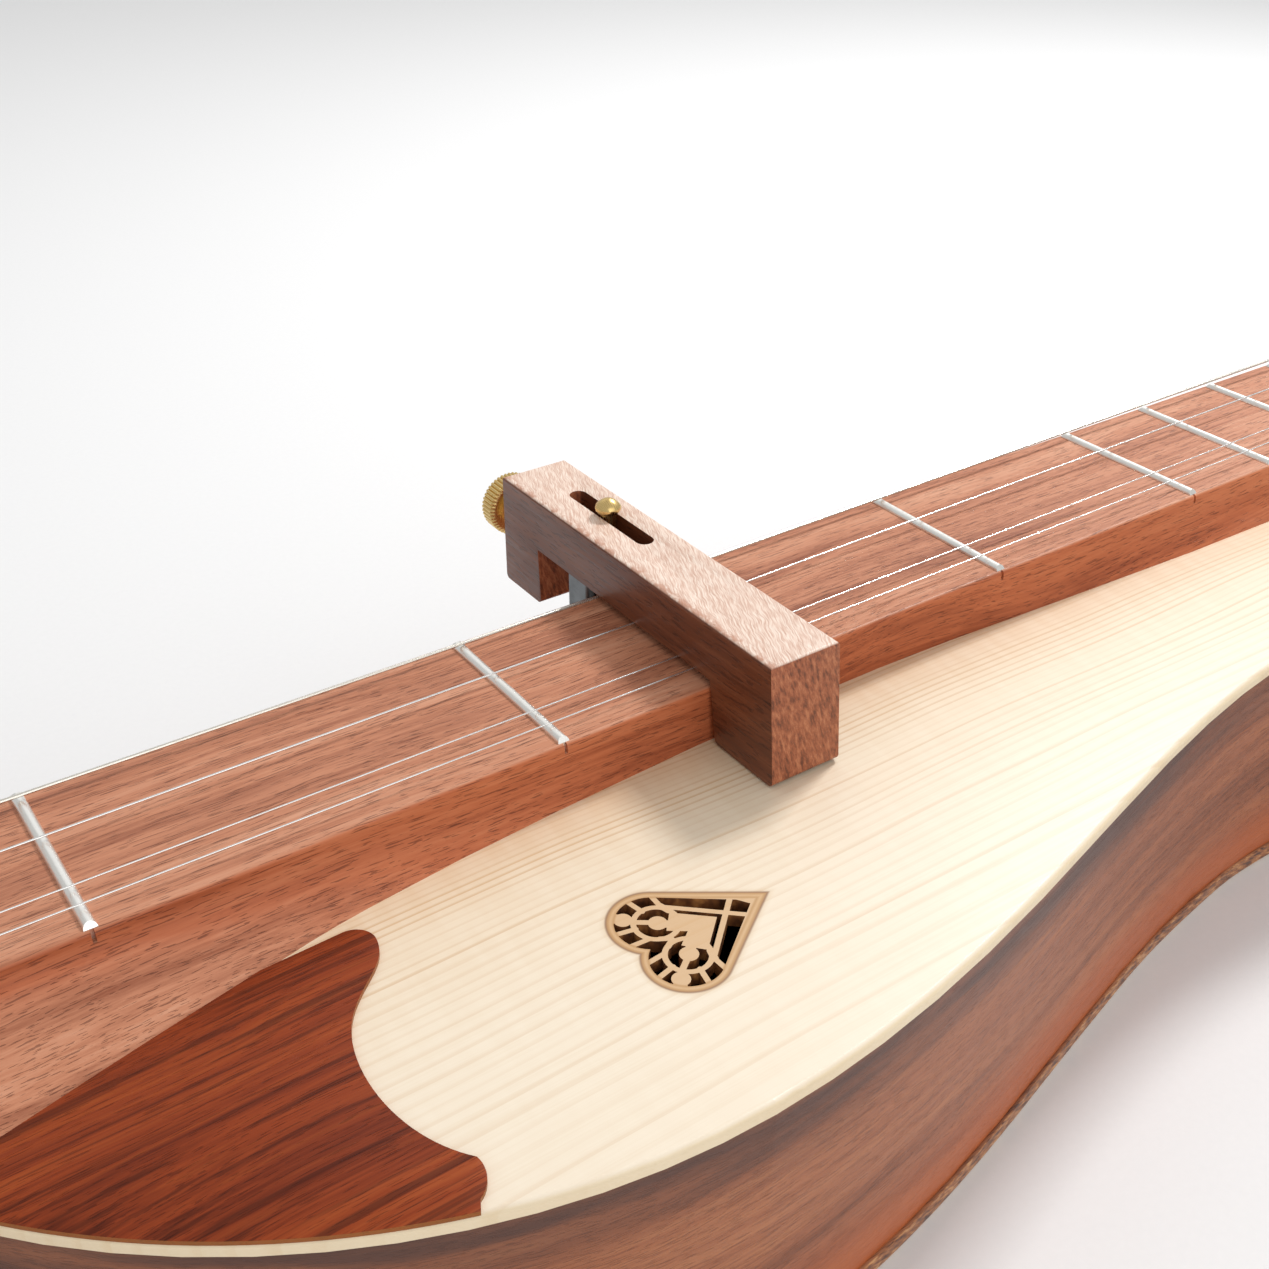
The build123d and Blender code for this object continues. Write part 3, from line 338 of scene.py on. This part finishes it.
def back_wood():
    """Brown wood whose cut edge shows slanting streaks and a pale lower lip."""
    def ends(n, colour, at):
        slant = (n.plus(n.x, n.times(n.z, -1.4)), n.plus(n.z, n.times(n.x, 0.35)), n.y)
        streaks = n.noise((4.2, 1.0, 3.0), 3.0, 0.65, slant)
        end = n.ramp(streaks, (0.36, rgb(0.07, 0.02, 0.01)), (0.52, rgb(0.36, 0.12, 0.03)),
                     (0.66, rgb(0.62, 0.31, 0.12)))
        side = n.step(n.size_of(n.nz), 0.85, 0.6)
        colour = n.mix(side, colour, end)
        lip = n.step(n.nz, -0.25, -0.7)
        return n.mix(n.times(lip, n.step(n.nz, -0.995, -0.97)), colour, rgb(0.66, 0.42, 0.24))
    tones = (rgb(0.17, 0.055, 0.022), rgb(0.34, 0.125, 0.05), rgb(0.47, 0.20, 0.085))
    return hardwood("back_wood", tones, shade=ends, rough=(0.32, 0.46), coat=0.25)


def capo_wood():
    """Brown flecked wood, cut so that its upper face shows pale wavy rays."""
    def across_body(n):
        return (n.y, n.x, n.z)

    def faces(n, colour, at):
        turn = math.radians(24)               # the rays' slant across the upper face
        c, k = math.cos(turn), math.sin(turn)
        u = n.plus(n.times(n.y, c), n.times(n.x, k))
        v = n.minus(n.times(n.x, c), n.times(n.y, k))
        ripple = n.waver(1.1, (3.0, 3.0, 3.0), 1.5)
        v = n.plus(v, ripple)
        rays = n.noise((3.0, 0.21, 0.8), 2.0, 0.55, (u, v, n.z))
        pale = n.ramp(rays, (0.36, rgb(0.63, 0.40, 0.30)), (0.5, rgb(0.77, 0.57, 0.46)),
                      (0.64, rgb(0.88, 0.73, 0.62)))
        west = CAPO_LOW.x / UNIT
        blots = n.noise((2.0, 2.6, 2.0), 2.0, 0.6)
        rim = n.times(n.step(n.x, west + 2.6, west + 0.4), n.step(blots, 0.45, 0.6))
        pale = n.mix(n.times(rim, 0.75), pale, rgb(0.50, 0.23, 0.14))
        top = n.step(n.nz, 0.5, 0.85)
        grit = n.noise((0.8, 0.8, 2.6), 3.0, 0.7, (n.plus(n.x, n.times(n.z, 0.25)), n.y, n.z))
        end = n.ramp(grit, (0.34, rgb(0.15, 0.042, 0.018)), (0.5, rgb(0.345, 0.10, 0.042)),
                     (0.68, rgb(0.51, 0.19, 0.088)))
        near_far = n.step(n.size_of(n.ny), 0.6, 0.85)
        colour = n.mix(near_far, colour, end)
        return n.mix(top, colour, pale)
    tones = (rgb(0.065, 0.017, 0.007), rgb(0.14, 0.038, 0.014), rgb(0.23, 0.078, 0.032))
    return hardwood("capo_wood", tones, at=across_body, figure=(60, 7, 5), fibre=(18, 2.0, 0.6), shade=faces,
                    rough=(0.36, 0.52), coat=0.1, pore=(3.5, 0.5, 0.42))


def metal(name, colour, dull, rough, brush=(0.15, 3.0, 3.0), wear=0.25, bump=0.004):
    """Metal with fine brushing, duller where it is handled."""
    n = Net(name)
    lines = n.noise(brush, 3.0, 0.7)
    smudge = n.noise((5.0, 5.0, 5.0), 3.0, 0.6)
    tone = n.mix(n.times(n.step(smudge, 0.4, 0.7), wear), colour, dull)
    gloss = n.step(n.plus(lines, n.times(smudge, 0.4)), 0.4, 1.0, *rough)
    return n.end(tone, gloss, lines, bump, metal=1.0)


def solid(name, dark, light, rough, coat=0.0, grain=1.2, bump=0.01):
    """Bone, plastic or rubber with a slight cloud and skin of its own."""
    n = Net(name)
    cloud = n.noise((9.0, 9.0, 9.0), 3.0, 0.6)
    skin = n.noise((grain, grain, grain), 3.0, 0.6)
    colour = n.ramp(cloud, (0.35, dark), (0.65, light))
    return n.end(colour, n.step(skin, 0.3, 0.7, *rough), skin, bump, coat=coat)


def pearl():
    """Creamy layered shell for the tuner buttons."""
    n = Net("button_pearl")
    swirl = n.noise((6.0, 2.0, 6.0), 4.0, 0.6)
    layer = n.noise((1.4, 3.5, 0.8), 2.0, 0.6)
    colour = n.ramp(n.plus(n.times(swirl, 0.6), n.times(layer, 0.4)),
                    (0.36, rgb(0.62, 0.56, 0.45)), (0.5, rgb(0.82, 0.78, 0.68)),
                    (0.66, rgb(0.93, 0.91, 0.86)))
    return n.end(colour, n.step(layer, 0.3, 0.7, 0.12, 0.24), layer, 0.004, coat=0.6, coat_rough=0.06)


BRASS = metal("brass", rgb(0.74, 0.53, 0.22), rgb(0.50, 0.33, 0.12), (0.2, 0.38))
NICKEL = metal("nickel_silver", rgb(0.93, 0.92, 0.88), rgb(0.76, 0.74, 0.69), (0.26, 0.44),
               brush=(0.8, 0.12, 0.8))
STEEL = metal("string_steel", rgb(0.86, 0.85, 0.83), rgb(0.62, 0.61, 0.60), (0.18, 0.3),
              brush=(6.0, 0.1, 0.1), wear=0.15)
WINDING = metal("bass_winding", rgb(0.84, 0.80, 0.72), rgb(0.60, 0.54, 0.44), (0.22, 0.36),
                brush=(0.2, 2.0, 2.0), wear=0.2)
PLATING = metal("nickel_plate", rgb(0.78, 0.77, 0.75), rgb(0.56, 0.55, 0.52), (0.1, 0.26),
                brush=(3.0, 0.2, 3.0), wear=0.3)
JAW = metal("jaw_metal", rgb(0.20, 0.215, 0.225), rgb(0.10, 0.11, 0.12), (0.42, 0.6),
            brush=(2.0, 2.0, 0.15), wear=0.4, bump=0.01)
BONE = solid("bone", rgb(0.74, 0.66, 0.47), rgb(0.86, 0.81, 0.66), (0.24, 0.38), coat=0.2)
RUBBER = solid("pad_rubber", rgb(0.012, 0.012, 0.012), rgb(0.03, 0.03, 0.03), (0.65, 0.85),
               grain=0.5, bump=0.05)
INNER = hardwood("block_wood", (rgb(0.42, 0.27, 0.14), rgb(0.58, 0.42, 0.24), rgb(0.70, 0.54, 0.35)),
                 rough=(0.5, 0.66), pore_dark=0.3)
FINISH = {
    "spruce": spruce(), "rib_wood": sides_wood(), "back_wood": back_wood(), "fretboard_wood": fingerboard(),
    "rosewood": rosewood(), "lacewood": capo_wood(), "block_wood": INNER, "bone": BONE,
    "nickel_silver": NICKEL, "string_steel": STEEL, "bass_winding": WINDING, "brass": BRASS,
    "nickel_plate": PLATING, "button_ivory": pearl(), "jaw_metal": JAW, "pad_rubber": RUBBER,
}
SLOTS = {part["node"]: part["material_slot"] for part in frame["record"]["subparts"]}
for name, node in NODES.items():
    node.data.materials.clear()
    node.data.materials.append(FINISH[SLOTS[name]])

# ---- softened edges on the carried-over nodes ----------------------------------------------------------
def soften(node, width, angle=32.0, segments=3):
    """Rounds a node's sharp edges without touching its own mesh."""
    piece = NODES[node]
    weld = piece.modifiers.new("weld", "WELD")
    weld.merge_threshold = 0.002 * UNIT
    bevel = piece.modifiers.new("edge_round", "BEVEL")
    bevel.width = width * UNIT
    bevel.segments = segments
    bevel.limit_method = "ANGLE"
    bevel.angle_limit = math.radians(angle)
    bevel.harden_normals = False
    bevel.use_clamp_overlap = True


def shade_smooth(piece, angle=40.0):
    """Smooth shading with creases kept above the angle."""
    for face in piece.data.polygons:
        face.use_smooth = True
    piece.data.set_sharp_from_angle(angle=math.radians(angle))


# ---- new meshes --------------------------------------------------------------------------------------
def piece_from(name, points, faces, material, body, slot, *replaced):
    mesh = bpy.data.meshes.new(name)
    mesh.from_pydata([tuple(p) for p in points], [], faces)
    mesh.validate()
    mesh.update()
    piece = bpy.data.objects.new(name, mesh)
    bpy.context.scene.collection.objects.link(piece)
    mesh.materials.append(material)
    shade_smooth(piece)
    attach(piece, body)
    if replaced:
        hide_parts(*replaced)
    return piece


def frames_along(path):
    """A direction and two cross directions at each point of a path, turning as little as they can."""
    ahead = [(path[min(i + 1, len(path) - 1)] - path[max(i - 1, 0)]).normalized() for i in range(len(path))]
    side = ahead[0].orthogonal().normalized()
    made = []
    for along in ahead:
        side = (side - along * side.dot(along)).normalized()
        made.append((side, along.cross(side)))
    return made


def tube(path, radii, sides=10):
    """Points and faces of a closed tube of changing radius along a path."""
    points, faces = [], []
    for centre, (side, up), radius in zip(path, frames_along(path), radii):
        for k in range(sides):
            turn = 2 * math.pi * k / sides
            points.append(centre + (side * math.cos(turn) + up * math.sin(turn)) * radius)
    for i in range(len(path) - 1):
        for k in range(sides):
            a, b = i * sides + k, i * sides + (k + 1) % sides
            faces.append((a, b, b + sides, a + sides))
    faces.append(tuple(reversed(range(sides))))
    faces.append(tuple(range((len(path) - 1) * sides, len(path) * sides)))
    return points, faces


def joined(*meshes):
    points, faces = [], []
    for more_points, more_faces in meshes:
        start = len(points)
        points += more_points
        faces += [tuple(start + i for i in face) for face in more_faces]
    return points, faces


def turned(origin, axis, profile, sides=48, radius_at=None):
    """A lathe shape: profile is (distance along the axis, radius) in units from end to end."""
    axis = Vector(axis).normalized()
    side = axis.orthogonal().normalized()
    up = axis.cross(side)
    points, faces = [], []
    for along, radius in profile:
        for k in range(sides):
            turn = 2 * math.pi * k / sides
            reach = radius_at(along, turn, radius) if radius_at else radius
            outward = side * math.cos(turn) + up * math.sin(turn)
            points.append(Vector(origin) + (axis * along + outward * reach) * UNIT)
    for i in range(len(profile) - 1):
        for k in range(sides):
            a, b = i * sides + k, i * sides + (k + 1) % sides
            faces.append((a, b, b + sides, a + sides))
    faces.append(tuple(reversed(range(sides))))
    faces.append(tuple(range((len(profile) - 1) * sides, len(profile) * sides)))
    return points, faces


def middle(low, high):
    return (low + high) / 2


# ---- strings -----------------------------------------------------------------------------------------
# Places along the strings, from the front edge of the nut, and heights above the fretboard, in units.
SCALE_U, TAIL_U, NUT_T_U = 806.8, 860.0, 4.0
CAPO_S_U, CAPO_W_U = 195.8, 14.75
NUT_UP_U, CAPO_UP_U, SADDLE_UP_U, TAIL_UP_U = 1.7, 1.75, 4.6, 0.25
STRING_GAP_U = 0.04                       # clearance between a string and what it rests on
POST_R_U, WIND_UP_U, WIND_GAP_U = 3.0, 6.5, 0.1
PIN_DROP_U, PIN_R_U = 9.0, 1.0            # hitch pins: depth below the soundboard, and radius
HEAD_NORMAL = Vector(JOINTS["post_1_turn"]["axis"]).normalized()
# node, radius, Y at the nut, Y at the saddle, tuner, hitch pin's Y
STRINGS = (
    ("string_bass", 0.34, 15.2, 18.1, 1, 14.0),
    ("string_middle", 0.2, 3.0, 7.4, 2, 5.0),
    ("string_melody_inner", 0.15, -10.2, -8.25, 4, -5.0),
    ("string_melody_outer", 0.15, -14.8, -13.1, 3, -14.0),
)


def string_route(radius, y_nut, y_saddle, tuner, y_pin):
    """The string's own route, from its post to its hitch pin, in metres."""
    def at(s, z):
        y = y_nut + (y_saddle - y_nut) * s / SCALE_U
        return Vector((NUT_FRONT + s * UNIT, y * UNIT, TOP + z * UNIT))
    lift = radius + STRING_GAP_U
    post = Vector(JOINTS[f"post_{tuner}_turn"]["pos_m"])
    inner = 1 if post.y > 0 else -1
    wind = post + HEAD_NORMAL * WIND_UP_U * UNIT
    start = wind - Vector((0, inner * (POST_R_U + radius + WIND_GAP_U) * UNIT, 0))
    tail_x = NUT_FRONT + (TAIL_U + 0.3 + lift) * UNIT
    pin_z = BOARD - PIN_DROP_U * UNIT
    corners = [start,
               at(-NUT_T_U + 0.6, NUT_UP_U + lift), at(-0.4, NUT_UP_U + lift),
               at(CAPO_S_U + 0.5, CAPO_UP_U - lift), at(CAPO_S_U + CAPO_W_U - 0.5, CAPO_UP_U - lift),
               at(SCALE_U, SADDLE_UP_U + lift),
               Vector((tail_x, y_pin * UNIT, TOP + (TAIL_UP_U + lift) * UNIT)),
               Vector((tail_x, y_pin * UNIT, pin_z + (PIN_R_U + 0.2 + radius) * UNIT))]
    return corners, wind, inner, Vector((tail_x, y_pin * UNIT, pin_z))


def eased(corners, run=0.6 * UNIT, steps=4):
    """The route with each corner turned in a short bend."""
    path = [corners[0]]
    for before, corner, after in zip(corners, corners[1:], corners[2:]):
        a = corner + (before - corner).normalized() * run
        b = corner + (after - corner).normalized() * run
        for i in range(steps + 1):
            t = i / steps
            path.append(a * (1 - t) ** 2 + corner * 2 * t * (1 - t) + b * t * t)
    return path + [corners[-1]]


def densely(path, spacing):
    """The path with more points, no further apart than about the spacing."""
    points = [path[0]]
    for a, b in zip(path, path[1:]):
        count = max(1, round((b - a).length / spacing))
        points += [a.lerp(b, (i + 1) / count) for i in range(count)]
    return points


def string(node, radius, y_nut, y_saddle, tuner, y_pin):
    """A string with its windings on the post and its loop over the hitch pin."""
    corners, wind, inner, pin = string_route(radius, y_nut, y_saddle, tuner, y_pin)
    path = eased(corners)
    if node == "string_bass":
        path = densely(path, 0.14 * UNIT)
        body = tube(path, [(radius - (0.03 if i % 2 else 0.0)) * UNIT for i in range(len(path))], 8)
    else:
        path = densely(path, 3.0 * UNIT)
        body = tube(path, [radius * UNIT] * len(path), 12)
    # windings on the post, from where the string meets it
    along = Vector((0, -inner, 0))
    ahead = HEAD_NORMAL.cross(along)
    coil_r = (POST_R_U + radius + WIND_GAP_U) * UNIT
    turns, steps = 4.25, 26
    coil = []
    for i in range(int(turns * steps) + 1):
        turn = 2 * math.pi * i / steps
        drop = HEAD_NORMAL * (2.04 * radius * UNIT * turn / (2 * math.pi))
        outward = along * math.cos(turn) + ahead * inner * math.sin(turn)
        coil.append(wind + outward * coil_r - drop)
    windings = tube(coil, [radius * UNIT] * len(coil), 10)
    # the loop end over its hitch pin, with the twist that closes it
    loop_r = (PIN_R_U + radius + 0.06) * UNIT
    ring = [pin + Vector((0, math.sin(t), math.cos(t))) * loop_r
            for t in [2 * math.pi * i / 28 for i in range(29)]]
    loop = tube(ring, [radius * UNIT * 0.9] * len(ring), 8)
    twist = []
    for i in range(61):
        turn = 2 * math.pi * i / 10
        twist.append(pin + Vector((math.cos(turn) * radius * 0.9 * UNIT,
                                   math.sin(turn) * radius * 1.7 * UNIT,
                                   loop_r + 6.0 * UNIT * i / 60)))
    wrap = tube(twist, [radius * 0.7 * UNIT] * len(twist), 8)
    metal_of = WINDING if node == "string_bass" else STEEL
    points, faces = joined(body, windings, loop, wrap)
    piece_from(node + "_wire", points, faces, metal_of, "dulcimer", SLOTS[node], node)


for entry in STRINGS:
    string(*entry)


# ---- threads: tuner worms and the capo's screw ----------------------------------------------------------
def threaded(along, turn, radius, pitch, depth, first, last):
    """Radius of a threaded shank at a place along it and a turn round it."""
    if not first <= along <= last:
        return radius
    wave = (along / pitch - turn / (2 * math.pi)) % 1.0
    fade = min(1.0, (along - first) / pitch, (last - along) / pitch)
    return radius - depth * fade * abs(2 * wave - 1)


WORM_R, WORM_END_R, WORM_HALF, WORM_PITCH, WORM_DEPTH = 2.4, 1.5, 4.2, 1.9, 0.62


def worm_thread(number):
    """A tuner's worm shaft, with its thread cut where it meets the gear."""
    node = f"tuner_worm_{number}"
    joint = JOINTS[f"button_{number}_turn"]
    low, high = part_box(node)
    centre = Vector(joint["pos_m"])
    out = joint["axis"][1]
    span = (high.y - low.y) / UNIT
    start = Vector((centre.x, low.y if out > 0 else high.y, centre.z))
    worm_mid = abs(centre.y - start.y) / UNIT
    first, last = worm_mid - WORM_HALF, worm_mid + WORM_HALF

    def reach(along, turn, radius):
        if radius < WORM_R:
            return radius
        return threaded(along, turn, radius, WORM_PITCH, WORM_DEPTH, first, last)

    steps = int(span / 0.16)
    places = [span * i / steps for i in range(steps + 1)]
    profile = [(place, WORM_R if first <= place <= last else WORM_END_R) for place in places]
    points, faces = turned(start, (0, out, 0), profile, 28, reach)
    piece_from(f"tuner_worm_thread_{number}", points, faces, PLATING, f"worm_{number}", SLOTS[node], node)


for number in range(1, 5):
    worm_thread(number)

SCREW_R, SCREW_END_R, SCREW_PITCH, SCREW_DEPTH = 1.97, 1.6, 0.8, 0.3
low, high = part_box("capo_screw")
screw_start = Vector((middle(low.x, high.x), low.y, middle(low.z, high.z)))
screw_span = (high.y - low.y) / UNIT


def screw_reach(along, turn, radius):
    return threaded(along, turn, radius, SCREW_PITCH, SCREW_DEPTH, 1.0, screw_span - 5.5)


shank_steps = int((screw_span - 0.8) / 0.1)
profile = [(0.0, SCREW_END_R), (0.35, 1.95)]
profile += [(0.35 + 0.1 * i, SCREW_R) for i in range(1, shank_steps)]
profile += [(screw_span - 0.3, SCREW_R), (screw_span, SCREW_END_R)]
points, faces = turned(screw_start, (0, 1, 0), profile, 28, screw_reach)
piece_from("capo_screw_thread", points, faces, BRASS, "capo_screw", SLOTS["capo_screw"], "capo_screw")

# ---- the capo's guide pin and knurled knob ---------------------------------------------------------------
low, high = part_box("capo_guide_pin")
pin_foot = Vector((middle(low.x, high.x), middle(low.y, high.y), low.z))
capo_top_u = (CAPO_HIGH.z - low.z) / UNIT
# the round head's profile: height above the capo's upper face, and radius
PIN_HEAD = ((0.55, 1.55), (0.75, 2.05), (1.25, 2.45), (1.75, 2.58), (2.1, 2.5), (2.65, 2.05), (3.15, 1.4),
            (3.5, 0.72), (3.62, 0.2))
profile = [(0.0, 1.25), (0.25, 1.48), (5.0, 1.48), (5.05, 1.5), (capo_top_u + 0.5, 1.5)]
profile += [(capo_top_u + along, radius) for along, radius in PIN_HEAD]


def faceted(along, turn, radius):
    """A turned head with faint flats left by the tool."""
    if along < capo_top_u + 0.6:
        return radius
    return radius * (1.0 - 0.022 * abs(math.sin(turn * 4.5)))


points, faces = turned(pin_foot, (0, 0, 1), profile, 72, faceted)
piece_from("capo_guide_pin_turned", points, faces, BRASS, "capo_jaw", SLOTS["capo_guide_pin"],
           "capo_guide_pin")

low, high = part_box("capo_knob")
knob_foot = Vector((middle(low.x, high.x), low.y, middle(low.z, high.z)))
knob_r, knob_t = (high.x - low.x) / 2 / UNIT, (high.y - low.y) / UNIT
KNURLS = 44
profile = [(0.35, 2.0), (0.0, 2.6), (0.0, knob_r - 1.1), (0.12, knob_r - 0.75), (0.5, knob_r - 0.25)]
profile += [(0.7 + (knob_t - 1.4) * i / 8, knob_r) for i in range(9)]
profile += [(knob_t - 0.5, knob_r - 0.25), (knob_t - 0.1, knob_r - 0.75), (knob_t - 0.1, knob_r - 1.3),
            (knob_t - 0.38, knob_r - 1.55), (knob_t - 0.38, 2.7), (knob_t, 2.4), (knob_t, 2.0)]


def knurled(along, turn, radius):
    """The knob's rim cut with even grooves; its faces are left plain."""
    if radius < knob_r - 0.3:
        return radius
    groove = abs((turn * KNURLS / (2 * math.pi)) % 1.0 * 2 - 1)
    return radius - 0.34 * max(0.0, 1 - groove * 1.7)


points, faces = turned(knob_foot, (0, 1, 0), profile, KNURLS * 8, knurled)
piece_from("capo_knob_knurled", points, faces, BRASS, "capo_screw", SLOTS["capo_knob"], "capo_knob")

EDGE_WIDTHS = {
    "capo_frame": 0.35, "capo_jaw": 0.25, "capo_jaw_pad": 0.2, "headstock": 1.0, "headstock_veneer": 0.3,
    "nut": 0.3, "saddle": 0.25, "head_overlay": 0.18, "tail_overlay": 0.18, "tuner_plates": 0.15,
    "tuner_bushings": 0.2, "tuner_screws": 0.25, "hitch_pins": 0.15,
}
for node, width in EDGE_WIDTHS.items():
    soften(node, width)
for piece in NODES.values():
    shade_smooth(piece, 35.0)

# ---- studio ------------------------------------------------------------------------------------------
world = bpy.data.worlds.new("studio")
bpy.context.scene.world = world
world.use_nodes = True
world.node_tree.nodes["Background"].inputs[0].default_value = rgb(1.0, 1.0, 1.0)
world.node_tree.nodes["Background"].inputs[1].default_value = 0.57


def floor():
    """A plain pale floor under the back, wide enough for every view."""
    n = Net("floor_paper")
    grain = n.noise((1.5, 1.5, 1.5), 3.0, 0.6)
    colour = n.ramp(grain, (0.3, rgb(0.835, 0.835, 0.835)), (0.7, rgb(0.85, 0.85, 0.85)))
    material = n.end(colour, 0.85, grain, 0.01)
    reach, cells = 6.0, 24                # half width in metres, and squares along a side
    points = [Vector((reach * (2 * i / cells - 1), reach * (2 * j / cells - 1), 0.0))
              for j in range(cells + 1) for i in range(cells + 1)]
    row = cells + 1
    faces = [(j * row + i, j * row + i + 1, (j + 1) * row + i + 1, (j + 1) * row + i)
             for j in range(cells) for i in range(cells)]
    mesh = bpy.data.meshes.new("floor")
    mesh.from_pydata([tuple(p) for p in points], [], faces)
    mesh.materials.append(material)
    piece = bpy.data.objects.new("floor", mesh)
    bpy.context.scene.collection.objects.link(piece)


floor()


def lamp(name, place, target, size, power):
    """A square soft light aimed at the target: sizes in metres, power in watts."""
    light = bpy.data.lights.new(name, "AREA")
    light.shape, light.size, light.energy = "SQUARE", size, power
    piece = bpy.data.objects.new(name, light)
    piece.location = place
    piece.rotation_euler = (Vector(target) - Vector(place)).to_track_quat("-Z", "Y").to_euler()
    bpy.context.scene.collection.objects.link(piece)


MIDDLE = (CAPO_LOW.x, 0.0, BOARD)
lamp("key", (MIDDLE[0] + 0.62, 0.2, 0.72), MIDDLE, 0.17, 5.6)
lamp("fill", (MIDDLE[0] - 0.1, -1.2, 0.75), MIDDLE, 1.3, 6.0)
lamp("back", (MIDDLE[0] + 0.3, 1.3, 1.1), MIDDLE, 1.2, 1.5)

# ---- camera, set from the nut and the fretboard -------------------------------------------------------
# tailward of the nut's front, nearer than the fretboard's near edge, and above its top, in units
CAMERA_U = (59.27, 174.13, 148.39)
camera = bpy.data.cameras.new("photo_view")
camera.lens, camera.sensor_width, camera.clip_start = 43.40, 36.0, 0.005
view = bpy.data.objects.new("photo_view", camera)
bpy.context.scene.collection.objects.link(view)
YAW, PITCH, ROLL = math.radians(34.75), math.radians(31.90), math.radians(-0.16)
ahead = Vector((math.sin(YAW) * math.cos(PITCH), math.cos(YAW) * math.cos(PITCH), -math.sin(PITCH)))
right = Vector((math.cos(YAW), -math.sin(YAW), 0.0))
down = ahead.cross(right)
across = right * math.cos(ROLL) + down * math.sin(ROLL)
lower = down * math.cos(ROLL) - right * math.sin(ROLL)
place = Vector((NUT_FRONT + CAMERA_U[0] * UNIT, NEAR_EDGE - CAMERA_U[1] * UNIT, TOP + CAMERA_U[2] * UNIT))
axes = Matrix((across, -lower, -ahead)).transposed().to_4x4()
view.matrix_world = Matrix.Translation(place) @ axes
bpy.context.scene.camera = view
bpy.context.scene.view_settings.view_transform = "Standard"
